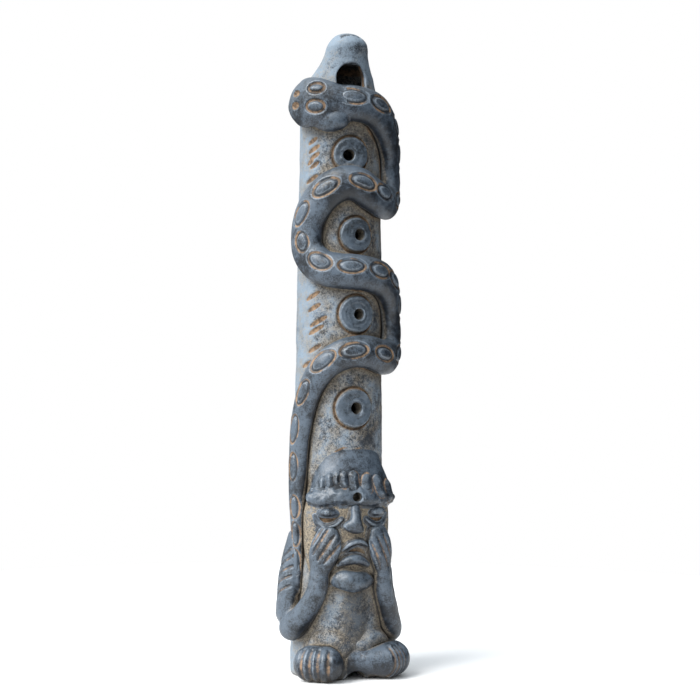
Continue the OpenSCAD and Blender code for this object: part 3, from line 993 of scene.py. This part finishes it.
def snake_body():
    top = np.linspace(-112, 112, int(66 / COARSE))
    under = np.linspace(112, 248, 16)[1:-1]
    turnd = np.radians(np.concatenate([top, under]))
    ends = [(math.cos(t), -math.sin(t)) for t in np.radians([84, 72, 58, 42, 24, 8])]
    order = ([(0, c, e) for c, e in ends] + [(i, 1.0, 0.0) for i in range(1, len(S) - 1)]
             + [(len(S) - 1, c, -e) for c, e in ends[::-1]])
    j = np.array([o[0] for o in order])
    swell = np.array([o[1] for o in order])[:, None, None]
    shift = np.array([o[2] for o in order])[:, None, None]
    st, ct = np.sin(turnd)[None, :, None], np.cos(turnd)[None, :, None]
    w, t = W[j][:, None, None], T[j][:, None, None]
    base = LINE[j][:, None] + ALONG[j][:, None] * shift * t
    flat = swell * (SIDE[j][:, None] * w * st + UP[j][:, None] * t * ct)
    P = base + flat
    normal = unit(SIDE[j][:, None] * st / w + UP[j][:, None] * ct / t + ALONG[j][:, None] * 0)
    across = np.sign(st) * np.hypot(w * st, t * (1 - ct)) * swell * np.ones_like(P[..., :1])
    along = (S[j][:, None, None] + shift * t) + 0 * across
    height, fill = body_relief(along[..., 0], across[..., 0])
    patches = noise((base + flat).reshape(-1, 3), 3.0, 21).reshape(fill.shape)
    fill = fill * np.clip(0.9 + 0.9 * patches, 0.25, 1)
    upper = step(-0.35, 0.1, ct[..., 0])
    P = P + normal * (height * upper)[..., None] * swell
    r = np.hypot(P[..., 0], P[..., 1])
    least = tube_r(P[..., 2]) - 0.35
    grow = np.maximum(least / np.maximum(r, 1e-6), 1)
    P = P * np.stack([grow, grow, np.ones_like(grow)], -1)
    n, m = P.shape[:2]
    verts = P.reshape(-1, 3)
    i, k = np.meshgrid(np.arange(n - 1), np.arange(m), indexing="ij")
    k2 = (k + 1) % m
    quads = np.stack([i * m + k, i * m + k2, (i + 1) * m + k2, (i + 1) * m + k], -1).reshape(-1, 4)
    fan = []
    for row, mid in ((0, len(verts)), (n - 1, len(verts) + 1)):
        for a in range(0, m, 2):
            ring = [row * m + a, row * m + (a + 1) % m, row * m + (a + 2) % m]
            fan.append([ring[2], ring[1], ring[0], mid] if row == 0 else [*ring, mid])
    verts = np.concatenate([verts, [P[0].mean(0)], [P[-1].mean(0)]])
    quads = np.concatenate([quads, np.array(fan)])
    flat_n = np.concatenate([normal.reshape(-1, 3), [-ALONG[0]], [ALONG[-1]]])
    marks = np.concatenate([(fill * upper).ravel(), [0, 0]])
    return verts.astype(F), quads, flat_n.astype(F), marks.astype(F)


verts, quads, normals, marks = snake_body()
SCULPT["clay_snake_body"] = dict(
    node="snake_body", slot="burnished_clay", verts=verts, quads=quads, normals=normals, field=snake_field,
    marks=lambda P, marks=marks: marks, lump=0.8, fine=1.0, pitch=PITCH, pale=0.0, box=room("snake_body"))

# ---- How open or closed in each place is: the amount of clay round it, at two scales; the material paints shade from it in creases and hollows ----
CELL = 0.6
FLOOR_SHARE = 0.6
GRID_LO = np.array(cad_lo) * MM - 6
GRID_N = np.ceil((np.array(cad_hi) * MM + 6 - GRID_LO) / CELL).astype(int)
solid = np.full(GRID_N, 9.0, F)
for s in SCULPT.values():
    a = np.maximum(np.floor((s["box"][0] - GRID_LO) / CELL).astype(int), 0)
    b = np.minimum(np.ceil((s["box"][1] - GRID_LO) / CELL).astype(int), GRID_N)
    size = b - a
    P = (GRID_LO + (np.indices(size).reshape(3, -1).T + a) * CELL).astype(F)
    part = solid[a[0]:b[0], a[1]:b[1], a[2]:b[2]]
    np.minimum(part, sample(s["field"], P).reshape(size), out=part)
clay = np.clip(0.5 - solid / CELL, 0, 1)
# The ground below counts as partly clay, so what stands near it gets painted shade too
clay[:, :, :int(-GRID_LO[2] / CELL)] = FLOOR_SHARE


def blur(a, radius, rounds=2):
    n = max(1, int(round(radius / CELL)))
    for _ in range(rounds):
        for axis in range(3):
            pad = [(0, 0)] * 3
            pad[axis] = (n + 1, n)
            c = np.cumsum(np.pad(a, pad, mode="edge"), axis=axis, dtype=np.float64)
            size = a.shape[axis]
            hi = np.take(c, range(2 * n + 1, 2 * n + 1 + size), axis=axis)
            lo = np.take(c, range(0, size), axis=axis)
            a = ((hi - lo) / (2 * n + 1)).astype(F)
    return a


def look_up(a, P):
    q = np.clip((P - GRID_LO) / CELL, 0, np.array(a.shape) - 1.001)
    i = q.astype(int)
    f = q - i
    out = 0
    for c in CORNERS:
        w = np.prod(np.where(c, f, 1 - f), axis=1)
        out = out + w * a[tuple((i + c).T)]
    return out


close, wide = blur(clay, 0.6), blur(clay, 2.4)


def build(name, s):
    P, n = s["verts"], s["normals"]
    fill = s["marks"](P) if s["marks"] else np.zeros(len(P), F)
    tight = look_up(close, P + n * 0.35)
    broad = look_up(wide, P + n * 1.0)
    P = P + n * (s["lump"] * lumps(P, s["fine"]))[:, None]
    smooth = P
    for _ in range(max(1, round(0.6 / s["pitch"] ** 2))):
        smooth = relax(smooth, s["quads"], 0.7)
    ridge = np.clip(0.5 + 4.0 * ((P - smooth) * n).sum(1), 0, 1)
    pale = s["pale"](P) if callable(s["pale"]) else s["pale"]
    # How much each point faces up and to the left, towards the light, plus its piece's extra bloom: the material
    # paints light where this is high and shade where it is low
    lit_side_and_bloom = np.clip(0.5 + 0.5 * n @ np.array([-0.4, -0.15, 0.9], F) + pale, -1, 2)
    me = bpy.data.meshes.new(name)
    me.vertices.add(len(P))
    me.vertices.foreach_set("co", (P / MM).astype(F).ravel())
    q = s["quads"].astype(np.int32)
    me.loops.add(q.size)
    me.loops.foreach_set("vertex_index", q.ravel())
    me.polygons.add(len(q))
    me.polygons.foreach_set("loop_start", np.arange(0, q.size, 4, dtype=np.int32))
    me.polygons.foreach_set("use_smooth", np.ones(len(q), bool))
    me.update(calc_edges=True)
    me.validate()
    # Earth in the cuts, and the closeness and ridges that the material turns into wear, soil and painted shade
    earth_wear_and_shade = me.attributes.new("earth_wear_and_shade", "FLOAT_COLOR", "POINT")
    rgba = np.stack([fill, tight, broad, ridge], -1).astype(F)
    earth_wear_and_shade.data.foreach_set("color", rgba.ravel())
    me.attributes.new("lit_side_and_bloom", "FLOAT", "POINT").data.foreach_set("value", lit_side_and_bloom.astype(F))
    o = bpy.data.objects.new(name, me)
    bpy.context.collection.objects.link(o)
    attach(o, "root")
    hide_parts(s["node"])
    o.data.materials.append(MATERIALS[s["slot"]])
    return o


# ---- Material ----

class Tree:
    """The nodes of a material or of the world."""

    def __init__(self, owner):
        owner.use_nodes = True
        self.t = owner.node_tree

    def add(self, kind, inputs=(), **settings):
        n = self.t.nodes.new(kind)
        for k, v in settings.items():
            setattr(n, k, v)
        for k, v in dict(inputs).items():
            self.set(n.inputs[k], v)
        return n

    def set(self, socket, v):
        if isinstance(v, bpy.types.NodeSocket):
            self.t.links.new(v, socket)
        else:
            socket.default_value = v

    def noise(self, where, scale, detail=3.0, rough=0.6):
        return self.add("ShaderNodeTexNoise", {"Vector": where, "Scale": scale, "Detail": detail,
                                               "Roughness": rough}).outputs["Fac"]

    def ramp(self, v, lo, hi, low=0.0, high=1.0):
        return self.add("ShaderNodeMapRange", {"Value": v, "From Min": lo, "From Max": hi, "To Min": low,
                                               "To Max": high}, interpolation_type="SMOOTHSTEP").outputs["Result"]

    def math(self, op, a, b=0.0):
        return self.add("ShaderNodeMath", {0: a, 1: b}, operation=op).outputs[0]

    def total(self, *terms, lift=0.0):
        """The sum of values, each times its own weight."""
        for value, weight in terms:
            lift = self.add("ShaderNodeMath", {0: value, 1: weight, 2: lift}, operation="MULTIPLY_ADD").outputs[0]
        return lift

    def mix(self, fac, a, b):
        n = self.add("ShaderNodeMix", {0: fac}, data_type="RGBA")
        self.set(n.inputs[6], a)
        self.set(n.inputs[7], b)
        return n.outputs[2]

    def over(self, colour, mask, amount, top):
        """A colour, or another colour laid over it where the mask is."""
        return self.mix(self.math("MULTIPLY", mask, amount), colour, top)


def rgb(r, g, b):
    """A colour given as seen on a screen, 0 to 255, as the linear colour that Blender works with."""
    return tuple((c / 255 / 12.92) if c < 10 else ((c / 255 + 0.055) / 1.055) ** 2.4 for c in (r, g, b)) + (1,)


def clay_material(name, dark, light, bloom, film, soil, rough, gloss, grain):
    material = bpy.data.materials.new(name)
    t = Tree(material)
    shader = t.t.nodes["Principled BSDF"]
    at = t.add("ShaderNodeTexCoord").outputs["Object"]
    # Earth, wear, and the closeness from which the painted shade of creases and hollows comes
    earth_wear_and_shade = t.add("ShaderNodeAttribute", attribute_name="earth_wear_and_shade")
    # Painted light and shade from how each point faces the light, with each piece's extra bloom
    lit_side_and_bloom = t.add("ShaderNodeAttribute", attribute_name="lit_side_and_bloom").outputs["Fac"]
    part = t.add("ShaderNodeSeparateColor", {"Color": earth_wear_and_shade.outputs["Color"]})
    fill, tight, broad, ridge = *part.outputs[:3], earth_wear_and_shade.outputs["Alpha"]
    big, mid, small, speck = (t.noise(at, 75, 3), t.noise(at, 330, 4, 0.6), t.noise(at, 1000, 3, 0.7),
                              t.noise(at, 2400, 3, 0.8))
    fine = t.total((small, 0.4), (speck, 0.6))
    colour = t.mix(t.ramp(t.total((big, 0.3), (mid, 0.3), (fine, 0.4)), 0.42, 0.58), dark, light)
    # A pale bloom of dust in patches; it is laid on heavier, as painted light, on what faces up and to the left,
    # towards the light, and on open crests
    patch = t.total((big, 0.35), (mid, 0.2), (fine, 0.45), (lit_side_and_bloom, 0.18), (broad, -0.25), lift=-0.01)
    colour = t.over(colour, t.ramp(patch, 0.46, 0.6), bloom, rgb(127, 142, 156))
    # Earth: a film of it on open clay, and more in what is closed in
    grit = t.mix(t.ramp(fine, 0.4, 0.6), rgb(80, 74, 66), rgb(146, 134, 116))
    other = t.noise(at, 210, 4, 0.6)
    open_film = t.ramp(t.total((other, 0.4), (fine, 0.6), (broad, 0.5), lift=0.14 * film), 0.68, 0.82)
    open_film = t.math("MULTIPLY", open_film, film)
    recess = t.math("MULTIPLY", t.ramp(t.total((broad, 1.0), (mid, 0.2), (fine, 0.2)), 0.6, 0.76), soil)
    colour = t.mix(t.math("MAXIMUM", open_film, recess), colour, grit)
    # Worn, dusty ridges
    worn = t.ramp(t.total((ridge, 1.0), (fine, 0.8)), 1.15, 1.4)
    colour = t.over(colour, worn, 0.45, rgb(132, 142, 152))
    # Ochre earth in the cuts; then painted shade, near black in concave pockets and in the creases where pieces meet
    earth = t.ramp(t.total((fill, 1.0), (fine, 0.6), (mid, 0.35)), 0.88, 1.16)
    tan = t.mix(t.ramp(t.total((small, 0.5), (mid, 0.5)), 0.42, 0.58), rgb(86, 69, 53), rgb(140, 113, 86))
    colour = t.over(colour, earth, 0.92, tan)
    pocket_shade = t.ramp(t.total((ridge, 1.0), (fine, 0.3), (fill, 0.22)), 0.5, 0.3)
    colour = t.over(colour, pocket_shade, 0.75, rgb(26, 23, 21))
    crease_shade = t.ramp(t.total((tight, 1.0), (small, 0.2)), 0.62, 0.78)
    colour = t.over(colour, crease_shade, 0.85, rgb(20, 17, 15))
    pits = t.ramp(speck, 0.42, 0.34)
    colour = t.over(colour, pits, 0.4, rgb(20, 20, 22))
    # Painted shade: undersides and sides facing away from the light are darkened, and the hollows are painted black
    # inside
    under = t.ramp(lit_side_and_bloom, 0.5, 0.12)
    colour = t.over(colour, under, 0.5, rgb(18, 20, 24))
    hollow_shade = t.ramp(broad, 0.8, 0.93)
    colour = t.over(colour, hollow_shade, 0.85, rgb(14, 12, 11))
    t.set(shader.inputs["Base Color"], colour)
    matt = t.math("MAXIMUM", earth, t.math("MAXIMUM", open_film, recess))
    t.set(shader.inputs["Roughness"], t.total((fine, 0.4), (matt, 0.3), lift=rough - 0.2))
    shader.inputs["Specular IOR Level"].default_value = gloss
    height = t.total((small, 0.6), (speck, 0.35), (mid, 0.5))
    bump = t.add("ShaderNodeBump", {"Height": height, "Strength": grain, "Distance": 0.0004})
    t.set(shader.inputs["Normal"], bump.outputs[0])
    return material


MATERIALS = {
    "tube_clay": clay_material("tube_clay_look", rgb(44, 48, 54), rgb(100, 108, 117), 0.85, 0.6, 0.9, 0.55, 0.3, 0.9),
    "burnished_clay": clay_material(
        "burnished_clay_look", rgb(14, 18, 24), rgb(51, 60, 72), 0.24, 0.0, 0.8, 0.34, 0.5, 0.5),
    "face_clay": clay_material("face_clay_look", rgb(44, 46, 49), rgb(98, 100, 102), 0.6, 1.0, 0.9, 0.55, 0.3, 0.8),
}

for name, s in SCULPT.items():
    build(name, s)

# ---- Floor, light and camera ----
TARGET_Z, REACH = 0.1096, 0.62
SIDE_STEP = 0.00382
AZIMUTH = math.radians(-20)
# The film's width, and the width of the view at the flute in metres
SENSOR, VIEW_W = 36, 0.34e-3 * 700
ROLL = math.radians(0.355)

# A round sheet of white paper, kept small so that little of its light comes back from below
FLOOR_R, FLOOR_SIDES = 0.32, 96
floor = bpy.data.meshes.new("floor")
turns = [2 * math.pi * k / FLOOR_SIDES for k in range(FLOOR_SIDES)]
floor.from_pydata([(FLOOR_R * math.cos(a), FLOOR_R * math.sin(a), 0) for a in turns], [], [range(FLOOR_SIDES)])
floor_object = bpy.data.objects.new("floor", floor)
bpy.context.collection.objects.link(floor_object)
ground = bpy.data.materials.new("floor_white")
ground.use_nodes = True
ground.node_tree.nodes["Principled BSDF"].inputs["Base Color"].default_value = (0.8, 0.8, 0.8, 1)
ground.node_tree.nodes["Principled BSDF"].inputs["Roughness"].default_value = 0.9
floor.materials.append(ground)

right = Vector((math.cos(AZIMUTH), math.sin(AZIMUTH), 0))
toward = Vector((math.sin(AZIMUTH), -math.cos(AZIMUTH), 0))
up = Vector((0, 0, 1))

# A studio that is bright on the upper left and dim on the right, behind a white ground
world = bpy.data.worlds.new("studio")
bpy.context.scene.world = world
t = Tree(world)
lit = t.t.nodes["Background"]
facing = t.add("ShaderNodeVectorMath", {
    0: t.add("ShaderNodeTexCoord").outputs["Generated"],
    1: (-0.55 * right + 0.7 * up + 0.3 * toward).normalized()}, operation="DOT_PRODUCT").outputs["Value"]
fall = t.add("ShaderNodeMapRange", {
    "Value": facing, "From Min": -0.15, "From Max": 0.95, "To Min": 0.06, "To Max": 2.0}).outputs[0]
t.set(lit.inputs["Strength"], fall)
t.set(lit.inputs["Color"], (0.9, 0.955, 1.0, 1))
plain = t.add("ShaderNodeBackground", {"Color": (1, 1, 1, 1), "Strength": 1.0})
seen = t.add("ShaderNodeLightPath").outputs["Is Camera Ray"]
blend = t.add("ShaderNodeMixShader", {0: seen, 1: lit.outputs[0], 2: plain.outputs[0]})
t.set(t.t.nodes["World Output"].inputs["Surface"], blend.outputs[0])

sun = bpy.data.lights.new("window_light", "SUN")
sun.energy, sun.angle, sun.color = 3.9, math.radians(34), (1.0, 0.985, 0.96)
sun_object = bpy.data.objects.new("window_light", sun)
sun_object.rotation_euler = (-0.56 * right + 0.5 * toward + 0.68 * up).to_track_quat("Z", "Y").to_euler()
bpy.context.collection.objects.link(sun_object)

camera = bpy.data.cameras.new("camera")
camera.sensor_width = SENSOR
camera.lens = SENSOR * REACH / VIEW_W
camera.clip_start, camera.clip_end = 0.01, 50
eye = bpy.data.objects.new("camera", camera)
bpy.context.collection.objects.link(eye)
spot = Vector((0, 0, TARGET_Z)) + right * SIDE_STEP + toward * REACH
turned = Matrix((right, up, toward)).transposed().to_4x4()
eye.matrix_world = Matrix.Translation(spot) @ turned @ Matrix.Rotation(ROLL, 4, "Z")
bpy.context.scene.camera = eye
bpy.context.scene.view_settings.view_transform = "Standard"
